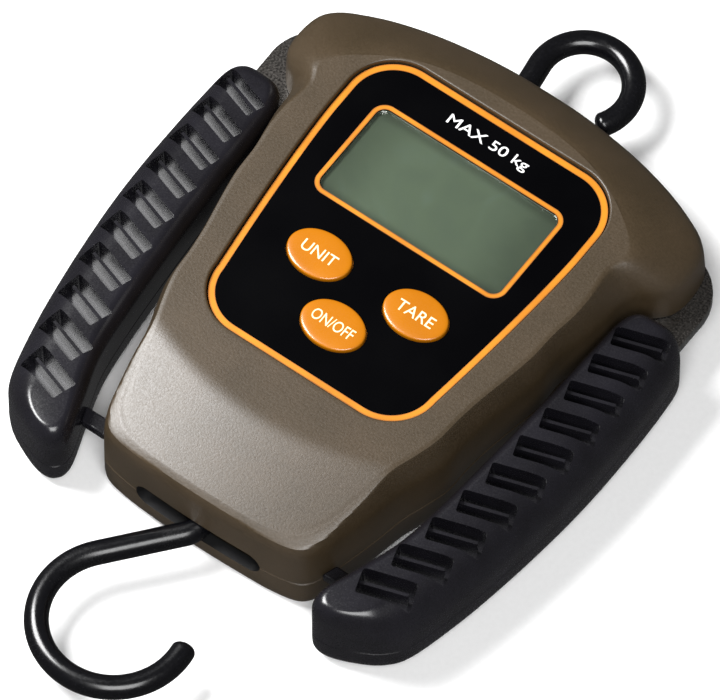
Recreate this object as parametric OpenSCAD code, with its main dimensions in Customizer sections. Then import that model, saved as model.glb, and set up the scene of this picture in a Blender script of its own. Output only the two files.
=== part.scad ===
// Folding digital fish scale: two moulded case halves, a recessed key panel, a steel chassis with a
// load cell, a swinging hook below, a hanging eye above and two fold-out grips on steel arms.
// It lies on its back: +X to the right, +Y towards the hanging eye, +Z out of the front.
// The datum for all Y values is the middle of the display; place() moves it to the row's origin.

/* [Case] */
// Height of the flat front above the back
case_h = 29.2; // [26:0.1:36]
// Height of the joint between the two case halves, and of the rods and arms
seam_z = 9.5; // [9.5:0.1:11]
// Wall of the moulded case
wall = 2.2; // [1.6:0.1:2.8]
// Scale of the case outline across, 1 is the drawn outline
case_wide = 1; // [0.96:0.01:1.25]
// Slope of the lower front facet, degrees
facet_slope = 14; // [6:1:18]
// Y of the crease above the lower facet
crease_y = -66; // [-72:1:-60]
// Height of the hook slot in the lower end
slot_h = 6.5; // [6.3:0.1:8]
// Width of the hook slot in the lower end
slot_w = 32.4; // [31:0.2:36]

/* [Panel] */
// Half width of the key panel at its top
panel_top = 33.8; // [30:0.1:36]
// Half width of the key panel at its bottom
panel_low = 29.5; // [27:0.1:31]
// Y of the panel's top edge
panel_y1 = 24.9; // [22:0.1:26]
// Y of the panel's bottom edge
panel_y0 = -53.4; // [-58:0.1:-51]
// Corner radius of the panel
panel_r = 12; // [8:0.5:14]
// How far the panel lies below the flat front
panel_sink = 1.2; // [0.6:0.1:1.6]
// Thickness of the panel plate
panel_t = 1.2; // [0.8:0.1:1.6]
// Width of the display window
window_w = 48.8; // [40:0.2:52]
// Height of the display window
window_h = 24.8; // [20:0.2:26]

/* [Keys] */
// Length of an oval key
key_l = 15.7; // [12:0.1:17]
// Width of an oval key
key_w = 11.6; // [9:0.1:12.4]
// Distance of the two upper keys from the centre line
key_x = 13; // [11.5:0.1:15]
// Y of the two upper keys
key_y = -26.4; // [-28:0.1:-24]
// Y of the lower key
power_y = -39.1; // [-42:0.1:-39]
// Travel of a key
key_travel = 0.6; // [0.3:0.1:0.8]

/* [Rods] */
// Diameter of the hook and eye rod
rod_d = 5.5; // [4.5:0.1:5.6]
// Mid-line radius of the hook
hook_r = 16.9; // [14:0.1:20]
// Distance from the display centre down to the hook's centre
hook_drop = 117.6; // [114:0.1:124]
// Mid-line radius of the hanging eye
eye_r = 11.05; // [8:0.05:12]
// Distance from the display centre up to the eye's centre
eye_rise = 52.2; // [51:0.1:56]

/* [Mechanism] */
// Distance of a grip pivot from the centre line
pivot_x = 45.5; // [45:0.1:46]
// Y of the grip pivots
pivot_y = 17.6; // [17:0.1:18.5]
// Diameter of the grip pivot pins
pivot_d = 5; // [4:0.1:6]
// Diameter of the hook and eye pins
pin_d = 4; // [3:0.1:4.4]
// Y of the hook's pin
hook_pin_y = -44; // [-46:0.5:-43]
// Y of the eye's pin
eye_pin_y = 27; // [26:0.5:28]
// Thickness of the steel arms
arm_t = 3; // [2:0.1:4]
// Height of the load cell between the chassis plates
cell_h = 8; // [7:0.1:8.6]
// Thickness of each chassis plate
plate_t = 2; // [1.5:0.1:2.2]
// Radial clearance of a turning joint
run_gap = 0.05; // [0.02:0.01:0.1]
// Clearance round parts that must not touch
free_gap = 0.3; // [0.2:0.05:0.5]

/* [Grips] */
// Underside of the grips above the table
grip_z0 = 1.5; // [1:0.1:2.8]
// Top of the grips
grip_z1 = 21.5; // [20:0.1:24]
// Number of pockets in each grip
pockets = 10; // [6:1:10]
// Depth of the pockets
pocket_depth = 5.5; // [3:0.1:6.5]
// Length of the first pocket along the grip
pocket_first = 4.9; // [4:0.1:5.2]
// Growth in pocket length from the first pocket to the last
pocket_grow = 0.29; // [0:0.01:0.32]
// Width of the bar between two pockets
bar_w = 3.5; // [2:0.1:3.6]
// Turn of the pockets, outer end towards the pivot, degrees
pocket_turn = 18; // [5:1:20]

/* [Batteries] */
// Diameter of a battery
batt_d = 10.5; // [10:0.1:10.6]
// Length of a battery
batt_l = 44.5; // [42:0.1:45]
// Distance of a battery from the centre line
batt_x = 15; // [14.8:0.1:17]
// Thickness of the battery cover
cover_t = 1.6; // [1:0.1:1.8]

/* [Hidden] */
$fn = 48;

rod_r = rod_d / 2;
y_mid = (hook_drop + hook_r - eye_rise - eye_r) / 2;
panel_z = case_h - panel_sink;
seat_z = panel_z - panel_t;
seat_t = 2;
board_z = seat_z - 7.3;
board_t = 1.6;
// Rise of the front half above the seam, and the height where its straight wall ends inside
span = case_h - seam_z;
wall_top = seam_z + 0.55 * span;
plate_top = seam_z + cell_h / 2 + plate_t;
plate_low = seam_z - cell_h / 2 - plate_t;
grip_seam = seam_z - arm_t / 2;
switch_z = board_z + board_t + 2.6;
batt_y0 = -36;
batt_y1 = batt_y0 + batt_l;
batt_z = cover_t + 0.4 + batt_d / 2;
cover_w = 22.8;
cover_screw_y = batt_y0 - 0.9;
// How far the sides move out when the case is widened, measured at the corner below the pivots
side_shift = 49 * (case_wide - 1);
pivot_at = pivot_x + side_shift;
arm_r = 13.1;
spacer_x = 24;
// Top of a grip's middle line, and how far that line leans in over the grip's length
grip_top = [54 + side_shift, 3];
grip_fall = [10.5, 91];
skin = 0.01;
big = 200;

// Right half of the case outline at the seam, from the top centre down to the lower centre
rim_half = [
  [0, 41], [10, 40.8], [19, 39.9], [28.2, 38.4], [37.6, 36], [44.8, 33.2], [49.6, 30.6], [52.6, 27],
  [53.6, 21], [52.9, 15.6], [50.2, 12], [47, 9.4], [45.5, 6.2], [45, 0.5], [43.8, -6], [42.3, -13],
  [42.2, -20], [40.9, -27], [39.4, -35], [38.6, -42], [38.3, -49], [36.6, -55], [34.6, -61],
  [33, -69], [31.3, -76], [29.6, -82], [26.6, -86.8], [20, -88.6], [10, -89.2], [0, -89.4]
];
// Right half of the edge of the flat front, one point for each point above
flat_half = [
  [0, 29.6], [9, 29.3], [17, 28.3], [24, 26.4], [30.5, 23.4], [35.5, 20.4], [38.8, 18], [41, 15.9],
  [42.3, 13.6], [42.2, 11.6], [41.2, 9.6], [40.5, 7.6], [40.6, 5], [41.2, 0], [41.2, -6], [40.3, -13],
  [39.9, -20], [38.8, -27], [37.2, -35], [36.2, -42], [35.6, -49], [34, -55], [32, -61],
  [30.3, -69], [28.6, -75.5], [26.6, -81], [22.6, -84.8], [16, -86.4], [8, -86.9], [0, -87]
];
// Outline of the right grip: top end, outer side, lower end, inner side
grip_line = [
  [53, 8.2], [58.4, 7.8], [61.9, 4.4], [63, -4], [63.3, -18.3], [62.9, -32.8],
  [61.7, -46], [60, -58.7], [57.8, -71], [54.4, -84], [50.7, -89.4], [45.2, -92.8], [38.8, -95],
  [34.8, -94.2], [33.6, -90], [36.9, -80], [40.3, -69.5], [42.1, -57], [43.3, -44], [44.3, -31],
  [45, -18], [45.6, -6], [46.4, 3], [48.8, 7.2]
];
// Height and share of the way from the rim to the flat front, for the outside of the front half
front_steps = [[0, 0], [0.41, 0.02], [0.56, 0.06], [0.665, 0.17], [0.96, 0.88], [1, 1]];
// Height above the back and inset, for the outside of the back half
back_steps = [[0, 2.2], [0.6, 1], [2.2, 0.2]];
// Height share and inset, for the outside of the front half of a grip
grip_steps = [[0, 0], [0.37, 0.2], [0.7, 0.9], [0.88, 1.9], [1, 3.6]];
// Screw places in the case
case_screws = widen([[26, 32], [32.8, -31], [23.4, -78]]);
board_posts = [[26.5, 17.8], [25, -45]];
cell_bolts = [16.6, 9.4, -27, -34.4];
grip_screws = [[52.8 + side_shift, -12], [49.5 + side_shift, -66]];
key_spots = [[-key_x, key_y], [key_x, key_y], [0, power_y]];

// Curve through points, n steps for each
function bend(a, b, c, d, t) =
  0.5 * (2 * b + (c - a) * t + (2 * a - 5 * b + 4 * c - d) * t * t + (3 * b - a - 3 * c + d) * t * t * t);
function round_line(p, n) = let(m = len(p)) [
  for (i = [0:m - 1], j = [0:n - 1]) bend(p[(i + m - 1) % m], p[i], p[(i + 1) % m], p[(i + 2) % m], j / n)
];
function whole(p) = concat(p, [for (i = [len(p) - 2:-1:1]) [-p[i][0], p[i][1]]]);
function widen(p) = [for (q = p) [q[0] * case_wide, q[1]]];
function aside(p) = [for (q = p) [q[0] + side_shift, q[1]]];
function inset(p, d) = let(m = len(p)) [
  for (i = [0:m - 1]) let(t = p[(i + 1) % m] - p[(i + m - 1) % m]) p[i] + d * [t[1], -t[0]] / norm(t)
];
function at_z(p, z) = [for (q = p) [q[0], q[1], z]];
function mix(p, q, t) = [for (i = [0:len(p) - 1]) p[i] + (q[i] - p[i]) * t];
function oval(a, b, n) = [for (i = [0:n - 1]) [a * cos(-360 * i / n), b * sin(-360 * i / n)]];

rim = widen(whole(rim_half));
flat = widen(whole(flat_half));

// Solid through a stack of rings that run clockwise as seen from above. Each ring starts at one end of
// the shape, so that its two ends are closed by strips that reach straight across.
module loft(rings) {
  n = len(rings[0]);
  m = len(rings);
  top = (m - 1) * n;
  sides = [
    for (k = [0:m - 2], i = [0:n - 1], half = [0, 1])
      let(j = (i + 1) % n, a = k * n, b = a + n)
        half == 0 ? [a + i, a + j, b + j] : [a + i, b + j, b + i]
  ];
  strips = concat(
    [[0, 1, n - 1]],
    [for (i = [1:n / 2 - 2]) [i, i + 1, n - i - 1, n - i]],
    [[n / 2 - 1, n / 2, n / 2 + 1]]
  );
  low_end = [for (f = strips) [for (k = [len(f) - 1:-1:0]) f[k]]];
  top_end = [for (f = strips) [for (q = f) top + q]];
  polyhedron(points = [for (r = rings, p = r) p], faces = concat(low_end, sides, top_end));
}

module place() {
  translate([0, y_mid, 0]) children();
}

module both_sides() {
  children();
  mirror([1, 0, 0]) children();
}

module post(x, y, z0, z1, r) {
  translate([x, y, z0]) cylinder(r = r, h = z1 - z0);
}

// Everything above the lower facet, sunk by a depth
module above_facet(depth) {
  translate([-big / 2, crease_y, case_h - depth]) rotate([facet_slope, 0, 0])
    translate([0, -big, 0]) cube([big, big, 40]);
}

module slab(x0, x1, y0, y1, z0, z1) {
  translate([x0, y0, z0]) cube([x1 - x0, y1 - y0, z1 - z0]);
}

// Outline of the key panel, grown by g
module panel_shape(g) {
  top = panel_top + g;
  low = panel_low + g;
  y1 = panel_y1 + g;
  y0 = panel_y0 - g;
  r = panel_r + g;
  both_sides() {
    polygon([[0, y0], [low - r, y0], [low, y0 + r], [top, 6], [top, y1 - r], [top - r, y1], [0, y1]]);
    translate([low - r, y0 + r]) circle(r);
    translate([top - r, y1 - r]) circle(r);
  }
}

module front_shell() {
  outer = [for (s = front_steps) at_z(mix(rim, flat, s[1]), seam_z + s[0] * span)];
  color("#6d6549") place() difference() {
    union() {
      difference() {
        loft(outer);
        above_facet(0);
        translate([0, 0, seam_z - 1]) linear_extrude(1 + wall_top - seam_z) polygon(inset(rim, wall + 0.4));
        difference() {
          translate([0, 0, seam_z]) linear_extrude(span - wall) polygon(inset(flat, wall - 0.4));
          above_facet(wall);
        }
      }
      translate([0, 0, seat_z - seat_t]) linear_extrude(case_h - seat_z) panel_shape(wall);
      both_sides() {
        for (s = case_screws) {
          post(s[0], s[1], seam_z, abs(s[1]) < 31.5 ? case_h - wall : wall_top + 0.7, 3);
        }
        for (s = board_posts) {
          post(s[0], s[1], board_z + board_t, seat_z - seat_t, 2.6);
        }
      }
    }
    translate([0, 0, seat_z]) linear_extrude(big) panel_shape(0.1);
    slab(-window_w / 2 - 2, window_w / 2 + 2, -window_h / 2 - 2, window_h / 2 + 2, 0, big);
    for (k = key_spots) {
      translate([k[0], k[1], 0]) linear_extrude(big) polygon(oval(key_l / 2 + 1.2, key_w / 2 + 1.2, 48));
    }
    both_sides() {
      post(pivot_at, pivot_y, 0, seam_z + arm_t / 2 + 0.4, arm_r + 0.5);
      for (s = case_screws) {
        post(s[0], s[1], 0, 19, 1.5);
      }
      for (s = board_posts) {
        post(s[0], s[1], 0, seat_z - 1.2, 1);
      }
    }
    hook_slot();
    eye_slot();
  }
}

module hook_slot() {
  r = slot_h / 2;
  translate([0, -70, seam_z]) rotate([90, 0, 0]) linear_extrude(40) {
    square([slot_w - slot_h, slot_h], center = true);
    for (x = [-1, 1]) {
      translate([x * (slot_w / 2 - r), 0]) circle(r);
    }
  }
}

module eye_slot() {
  slab(-13.5, -1.2, 33, 60, seam_z - rod_r - 0.5, seam_z + rod_r + 0.5);
}

module back_shell() {
  outer = concat([for (s = back_steps) at_z(inset(rim, s[1]), s[0])], [at_z(rim, seam_z)]);
  color("#6a6246") place() difference() {
    union() {
      difference() {
        loft(outer);
        translate([0, 0, 2]) linear_extrude(big) polygon(inset(rim, wall + 0.4));
      }
      slab(-24.5, 24.5, batt_y0 - 4.5, batt_y1 + 3, 1, 2.9);
      both_sides() {
        slab(batt_x - 6.6, batt_x + 6.6, batt_y0 - 2.4, batt_y1 + 2.4, 2, batt_z + batt_d / 2 + 1.4);
        for (s = case_screws) {
          post(s[0], s[1], 1, seam_z, 3);
        }
        post(spacer_x, pivot_y, 1, plate_low, 3.5);
      }
    }
    slab(-cover_w - 0.2, cover_w + 0.2, batt_y0 - 3.7, batt_y1 + 2.2, -1, cover_t + 0.05);
    both_sides() {
      slab(batt_x - 5.4, batt_x + 5.4, batt_y0 - 1.2, batt_y1 + 1.2, -1, batt_z + batt_d / 2 + 0.2);
      post(pivot_at, pivot_y, seam_z - arm_t / 2 - 0.4, big, arm_r + 0.5);
      for (s = case_screws) {
        post(s[0], s[1], -1, 19, 1.6);
        post(s[0], s[1], -1, 3, 2.9);
      }
      post(spacer_x, pivot_y, 2.1, big, 1.5);
    }
    post(0, cover_screw_y, -1, 2.6, 1.05);
    hook_slot();
    eye_slot();
  }
}

module shell_screws() {
  color("silver") place() both_sides() {
    for (s = case_screws) {
      post(s[0], s[1], 1.2, 18, 1.45);
      post(s[0], s[1], 1.2, 2.9, 2.75);
    }
  }
}

module faceplate() {
  color("#101010") place() translate([0, 0, seat_z + 0.15]) difference() {
    linear_extrude(panel_t - 0.15) panel_shape(0);
    slab(-window_w / 2, window_w / 2, -window_h / 2, window_h / 2, -1, 5);
    for (k = key_spots) {
      translate([k[0], k[1], -1]) linear_extrude(5) polygon(oval(key_l / 2 + 0.25, key_w / 2 + 0.25, 48));
    }
  }
}

module faceplate_gasket() {
  color("#2c2c2c") place() translate([0, 0, seat_z]) linear_extrude(0.15) difference() {
    panel_shape(-0.4);
    panel_shape(-2);
  }
}

module display_lens() {
  g = 0.05;
  color("#a9b0a0") place()
    slab(-window_w / 2 + g, window_w / 2 - g, -window_h / 2 + g, window_h / 2 - g, seat_z + 0.15, panel_z);
}

module display_module() {
  w = window_w / 2 + 1.6;
  h = window_h / 2 + 1.6;
  color("#8b9386") place() {
    slab(-w, w, -h, h, seat_z - 3.2, seat_z - 0.1);
    slab(-w + 1, w - 1, -h + 4, h - 4, board_z + board_t, seat_z - 3.2);
  }
}

module display_connectors() {
  w = window_w / 2;
  h = window_h / 2;
  color("#d58f9a") place() for (s = [-1, 1]) {
    slab(-w, w, s * h - 1, s * h + 1, board_z + board_t, seat_z - 3.2);
  }
}

module circuit_board() {
  color("#2e6b3a") place() difference() {
    slab(-29.5, 29.5, -49, 21.5, board_z, board_z + board_t);
    both_sides() for (s = board_posts) {
      post(s[0], s[1], 0, big, 1.1);
    }
  }
}

module board_screws() {
  color("silver") place() both_sides() for (s = board_posts) {
    post(s[0], s[1], board_z - 1.3, board_z, 2.2);
    post(s[0], s[1], board_z - 1.3, seat_z - 1.6, 0.95);
  }
}

module key_switches() {
  color("#3a3a3a") place() for (k = key_spots) {
    slab(k[0] - 3, k[0] + 3, k[1] - 3, k[1] + 3, board_z + board_t, switch_z - 0.5);
    post(k[0], k[1], switch_z - 0.5, switch_z, 1.7);
  }
}

module buzzer() {
  color("#1c1c1c") place() difference() {
    post(15, -44, board_z - 4.5, board_z, 6);
    post(15, -44, 0, board_z - 4, 1);
  }
}

// An oval key with a retaining flange below the panel and a stem over its switch
module key(spot) {
  a = key_l / 2;
  b = key_w / 2;
  top = panel_z + 0.9;
  dome = [[0, 0], [panel_z - seat_z + 0.3, 0], [panel_z - seat_z + 0.65, 0.35], [panel_z - seat_z + 0.85, 1.2]];
  rings = [for (d = dome) at_z(oval(a - d[1], b - d[1], 48), seat_z - skin + d[0])];
  color("#f5a31c") place() translate([spot[0], spot[1], 0]) {
    loft(concat(rings, [at_z(oval(a - 3.4, b - 3, 48), top)]));
    translate([0, 0, seat_z - 1.3]) linear_extrude(1.3 - 0.05) polygon(oval(a + 0.7, b + 0.7, 48));
    post(0, 0, seat_z - 1.0, seat_z + 0.5, 3);
    post(0, 0, switch_z + key_travel + 0.1, seat_z - 1, 2);
  }
}

module unit_button() {
  key(key_spots[0]);
}

module tare_button() {
  key(key_spots[1]);
}

module power_button() {
  key(key_spots[2]);
}

module load_cell() {
  z0 = seam_z - cell_h / 2;
  color("#b9bdc2") place() difference() {
    slab(-6, 6, -38, 20, z0, z0 + cell_h);
    for (y = cell_bolts) {
      post(0, y, 0, big, 2.05);
    }
    for (y = [-5, -13]) {
      translate([-10, y, seam_z]) rotate([0, 90, 0]) cylinder(d = cell_h - 2.4, h = 20);
    }
    slab(-10, 10, -13, -5, seam_z - 1.2, seam_z + 1.2);
  }
}

module load_cell_bolts() {
  color("silver") place() for (y = cell_bolts) {
    post(0, y, plate_low + 0.2, plate_top + 0.1, 2);
    post(0, y, plate_top, plate_top + 2, 3);
  }
}

module chassis_plate(z0) {
  color("#8f959b") place() difference() {
    union() {
      slab(-pivot_at, pivot_at, pivot_y - 4.5, pivot_y + 4.5, z0, z0 + plate_t);
      slab(-7.4, 7.4, 6, eye_pin_y + 5.5, z0, z0 + plate_t);
      both_sides() post(pivot_at, pivot_y, z0, z0 + plate_t, 4.5);
    }
    both_sides() {
      post(pivot_at, pivot_y, 0, big, pivot_d / 2 + 0.02);
      post(spacer_x, pivot_y, 0, big, 1.55);
    }
    for (y = [cell_bolts[0], cell_bolts[1]]) {
      post(0, y, 0, big, 2.05);
    }
    post(0, eye_pin_y, 0, big, pin_d / 2 + 0.02);
  }
}

module chassis_front_plate() {
  chassis_plate(plate_top - plate_t);
}

module chassis_back_plate() {
  chassis_plate(plate_low);
}

module chassis_spacers() {
  color("#a5a9ad") place() both_sides() difference() {
    post(spacer_x, pivot_y, plate_low + plate_t, plate_top - plate_t, 4);
    post(spacer_x, pivot_y, 0, big, 1.6);
  }
}

module chassis_screws() {
  color("silver") place() both_sides() {
    post(spacer_x, pivot_y, 2.3, plate_top + 0.1, 1.45);
    post(spacer_x, pivot_y, plate_top, plate_top + 1.8, 2.8);
  }
}

module yoke_plate(z0) {
  color("#8f959b") place() difference() {
    union() {
      slab(-6.5, 6.5, hook_pin_y, -24, z0, z0 + plate_t);
      post(0, hook_pin_y, z0, z0 + plate_t, 6.5);
    }
    for (y = [cell_bolts[2], cell_bolts[3]]) {
      post(0, y, 0, big, 2.05);
    }
    post(0, hook_pin_y, 0, big, pin_d / 2 + 0.02);
  }
}

module yoke_front_plate() {
  yoke_plate(plate_top - plate_t);
}

module yoke_back_plate() {
  yoke_plate(plate_low);
}

// Headed pin through both plates
module headed_pin(x, y, d) {
  post(x, y, plate_low - 0.2, plate_top + 0.8, d / 2);
  post(x, y, plate_top, plate_top + 1.2, d / 2 + 1.6);
}

// Two washers that centre a piece of thickness t between the plates
module washer_pair(x, y, t, hole, r) {
  gap = 0.05;
  z0 = plate_low + plate_t;
  z1 = plate_top - plate_t;
  difference() {
    union() {
      post(x, y, z0, seam_z - t / 2 - gap, r);
      post(x, y, seam_z + t / 2 + gap, z1, r);
    }
    post(x, y, 0, big, hole / 2 + 0.05);
  }
}

module hook_pin() {
  color("#c8ccd0") place() headed_pin(0, hook_pin_y, pin_d);
}

module hook_washers() {
  color("#c8ccd0") place() washer_pair(0, hook_pin_y, rod_d, pin_d, 4.6);
}

module eye_pin() {
  color("#c8ccd0") place() headed_pin(0, eye_pin_y, pin_d);
}

module eye_washers() {
  color("#c8ccd0") place() washer_pair(0, eye_pin_y, rod_d, pin_d, 4.6);
}

function arc(c, r, a0, a1, n) = [for (i = [0:n]) c + r * [cos(a0 + (a1 - a0) * i / n), sin(a0 + (a1 - a0) * i / n)]];
function rod_ring(p, t) = [
  for (k = [0:15]) let(a = -22.5 * k) [p[0] - t[1] * rod_r * cos(a), p[1] + t[0] * rod_r * cos(a), seam_z + rod_r * sin(a)]
];

// Round rod along a flat path at the seam height
module rod(path) {
  m = len(path);
  loft([
    for (i = [0:m - 1])
      let(d = path[min(i + 1, m - 1)] - path[max(i - 1, 0)])
        rod_ring(path[i], d / norm(d))
  ]);
}

// Flattened eye at the inner end of a rod
module rod_eye(y) {
  difference() {
    post(0, y, seam_z - rod_r + 0.3, seam_z + rod_r - 0.3, 5.4);
    post(0, y, 0, big, pin_d / 2 + run_gap);
  }
}

module hook() {
  lean = 40;
  bow_r = 7;
  c = [-1.2, -hook_drop];
  join_at = c + hook_r * [cos(180 - lean), sin(180 - lean)];
  bow_y = join_at[1] + (-join_at[0] / tan(lean)) + bow_r * tan(lean / 2);
  color("#161616") place() {
    rod_eye(hook_pin_y);
    rod(concat(
      [[0, hook_pin_y - 4]],
      arc([-bow_r, bow_y], bow_r, 0, -lean, 5),
      arc(c, hook_r, 180 - lean, 373, 30)
    ));
  }
}

module top_eye() {
  c = [1.9, eye_rise];
  lean = 8;
  bow_r = 8;
  start = c - eye_r * [cos(lean), sin(lean)];
  foot_y = pivot_y + 23.4;
  foot = [start[0] + (start[1] - foot_y) * tan(lean), foot_y];
  turn = atan2(-foot[0], foot_y - eye_pin_y);
  cut = bow_r * tan((turn - lean) / 2);
  bow_c = foot + cut * [-sin(lean), cos(lean)] + bow_r * [cos(lean), sin(lean)];
  color("#161616") place() {
    rod_eye(eye_pin_y);
    rod(concat(
      [[0, eye_pin_y] + 4 * [-sin(turn), cos(turn)]],
      arc(bow_c, bow_r, 180 + turn, 180 + lean, 3),
      arc(c, eye_r, 180 + lean, -40, 28)
    ));
  }
}

module pivot_pin() {
  headed_pin(pivot_at, pivot_y, pivot_d);
}

module left_pivot_pin() {
  color("#c8ccd0") place() mirror([1, 0, 0]) pivot_pin();
}

module right_pivot_pin() {
  color("#c8ccd0") place() pivot_pin();
}

module left_pivot_washers() {
  color("#c8ccd0") place() mirror([1, 0, 0]) washer_pair(pivot_at, pivot_y, arm_t, pivot_d, 4.3);
}

module right_pivot_washers() {
  color("#c8ccd0") place() washer_pair(pivot_at, pivot_y, arm_t, pivot_d, 4.3);
}

// Steel arm: a round ear on the pivot and a tongue that runs into the grip
module arm() {
  edge = pivot_x + arm_r;
  translate([0, 0, seam_z - arm_t / 2]) difference() {
    union() {
      post(pivot_at, pivot_y, 0, arm_t, arm_r);
      linear_extrude(arm_t)
        polygon(aside([
          [edge - 0.6, pivot_y], [58.4, 2], [57.4, -20], [56.2, -42], [47.4, -42], [48, -20], [48.4, 2], [47, 6]
        ]));
    }
    post(pivot_at, pivot_y, -big, big, pivot_d / 2 + run_gap);
    post(grip_screws[0][0], grip_screws[0][1], -big, big, 1.7);
  }
}

module left_arm() {
  color("#4a4a4c") place() mirror([1, 0, 0]) arm();
}

module right_arm() {
  color("#4a4a4c") place() arm();
}

// Middle of a grip at a distance down it, and the grip's lean there
function grip_mid(s) = grip_top - [grip_fall[0] * pow(s / grip_fall[1], 2.8), s];
function pocket_size(k) = pocket_first * (1 + pocket_grow * k / (pockets - 1));
function pocket_at(k) = k == 0 ? 3 : pocket_at(k - 1) + (pocket_size(k - 1) + pocket_size(k)) / 2 + bar_w;

module grip_front() {
  line = round_line(aside(grip_line), 2);
  rise = grip_z1 - grip_seam;
  difference() {
    loft([for (s = grip_steps) at_z(inset(line, s[1]), grip_seam + s[0] * rise)]);
    translate([0, 0, grip_seam - 1]) linear_extrude(arm_t + 1.1)
      polygon(aside([
        [59, 20], [58.8, 2], [57.8, -20], [56.6, -42.4], [47, -42.4], [47.6, -20], [47.7, 2], [46, 8], [46, 20]
      ]));
    post(pivot_at, pivot_y, grip_seam - 1, grip_seam + arm_t + 0.1, arm_r + 0.1);
    for (k = [0:pockets - 1]) {
      m = grip_mid(pocket_at(k));
      translate([m[0], m[1], grip_z1 - pocket_depth]) rotate([0, 0, pocket_turn])
        slab(-5.8, 6.4, -pocket_size(k) / 2, pocket_size(k) / 2, 0, 20);
    }
    for (s = grip_screws) {
      post(s[0], s[1], 0, 14.2, 1.3);
    }
  }
}

module grip_back() {
  line = round_line(aside(grip_line), 2);
  difference() {
    loft([at_z(inset(line, 1.6), grip_z0), at_z(inset(line, 0.3), grip_z0 + 1.4), at_z(line, grip_seam)]);
    for (s = grip_screws) {
      post(s[0], s[1], 0, big, 1.6);
      post(s[0], s[1], 0, 4.6, 3);
    }
  }
}

module grip_screw_pair() {
  for (s = grip_screws) {
    post(s[0], s[1], 3, 14, 1.25);
    post(s[0], s[1], 3, 4.55, 2.7);
  }
}

module left_grip_front() {
  color("#151515") place() mirror([1, 0, 0]) grip_front();
}

module right_grip_front() {
  color("#151515") place() grip_front();
}

module left_grip_back() {
  color("#151515") place() mirror([1, 0, 0]) grip_back();
}

module right_grip_back() {
  color("#151515") place() grip_back();
}

module left_grip_screws() {
  color("silver") place() mirror([1, 0, 0]) grip_screw_pair();
}

module right_grip_screws() {
  color("silver") place() grip_screw_pair();
}

// Tongue on the inside of a folded grip that clicks against the case side
module catch_tongue() {
  translate([0, 0, seam_z + 0.2]) linear_extrude(2.4)
    polygon([
      [30.7 * case_wide, -79.6], [37.1 + side_shift, -79.6], [35.74 + side_shift, -83.4], [29.4 * case_wide, -83.4]
    ]);
}

module left_catch() {
  color("#151515") place() mirror([1, 0, 0]) catch_tongue();
}

module right_catch() {
  color("#151515") place() catch_tongue();
}

module battery(turned) {
  body = batt_l - 1.2;
  translate([batt_x, batt_y0, batt_z]) rotate([-90, 0, 0]) {
    translate([0, 0, turned ? 1.2 : 0]) cylinder(d = batt_d, h = body);
    translate([0, 0, turned ? 0 : body]) cylinder(r = 1.9, h = 1.2);
  }
}

module battery_left() {
  color("#c9a24a") place() mirror([1, 0, 0]) battery(false);
}

module battery_right() {
  color("#c9a24a") place() battery(true);
}

module battery_contacts() {
  color("#d9dadb") place() both_sides() for (y = [batt_y0 - 0.8, batt_y1 + 0.4]) {
    slab(batt_x - 4, batt_x + 4, y, y + 0.4, batt_z - 4, batt_z + 4);
  }
}

module battery_cover() {
  color("#665e43") place() difference() {
    slab(-cover_w, cover_w, batt_y0 - 3.5, batt_y1 + 2, 0, cover_t);
    for (k = [0:4]) {
      slab(-6, 6, batt_y1 - 3.2 - k * 1.6, batt_y1 - 2.4 - k * 1.6, -1, 0.4);
    }
    post(0, cover_screw_y, -1, 5, 1.2);
    post(0, cover_screw_y, -1, 0.7, 2.4);
  }
}

module battery_cover_screw() {
  color("silver") place() {
    post(0, cover_screw_y, 0.2, 2.5, 0.95);
    post(0, cover_screw_y, 0.2, 0.65, 2.2);
  }
}

front_shell();
back_shell();
shell_screws();
faceplate();
faceplate_gasket();
display_lens();
display_module();
display_connectors();
circuit_board();
board_screws();
key_switches();
buzzer();
unit_button();
tare_button();
power_button();
load_cell();
load_cell_bolts();
chassis_front_plate();
chassis_back_plate();
chassis_spacers();
chassis_screws();
yoke_front_plate();
yoke_back_plate();
hook_pin();
hook_washers();
hook();
eye_pin();
eye_washers();
top_eye();
left_pivot_pin();
right_pivot_pin();
left_pivot_washers();
right_pivot_washers();
left_arm();
right_arm();
left_grip_front();
right_grip_front();
left_grip_back();
right_grip_back();
left_grip_screws();
right_grip_screws();
left_catch();
right_catch();
battery_left();
battery_right();
battery_contacts();
battery_cover();
battery_cover_screw();
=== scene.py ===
import math

import bmesh
import bpy
import numpy as np
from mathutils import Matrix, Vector


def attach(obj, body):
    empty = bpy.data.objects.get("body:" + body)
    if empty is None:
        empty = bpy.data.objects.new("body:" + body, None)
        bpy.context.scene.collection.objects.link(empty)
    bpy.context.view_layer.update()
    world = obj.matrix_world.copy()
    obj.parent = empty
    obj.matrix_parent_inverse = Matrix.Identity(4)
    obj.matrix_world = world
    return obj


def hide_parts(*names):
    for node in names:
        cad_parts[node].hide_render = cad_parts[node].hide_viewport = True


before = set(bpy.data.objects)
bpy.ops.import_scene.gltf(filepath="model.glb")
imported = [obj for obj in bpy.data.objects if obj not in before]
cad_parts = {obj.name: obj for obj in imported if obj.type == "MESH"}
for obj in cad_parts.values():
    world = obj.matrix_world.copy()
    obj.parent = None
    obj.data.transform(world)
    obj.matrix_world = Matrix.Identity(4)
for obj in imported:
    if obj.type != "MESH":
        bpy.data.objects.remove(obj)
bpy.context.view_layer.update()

# Lengths below are millimetres, with Y counted from the middle of the display
displayY = 35.625
seamZ = 9.5  # where the case halves meet
frontZ = 29.2  # flat front of the case
seatZ = 26.8  # floor of the recess that holds the panel
panelZ = 28.0  # top of the panel
pivotX, pivotY = 45.5, 17.6  # pins that the grips fold about
hookPinY, eyePinY = -44, 27
scene = bpy.context.scene


def metres(p):
    return (p[0] / 1000, (p[1] + displayY) / 1000, p[2] / 1000)


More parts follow.
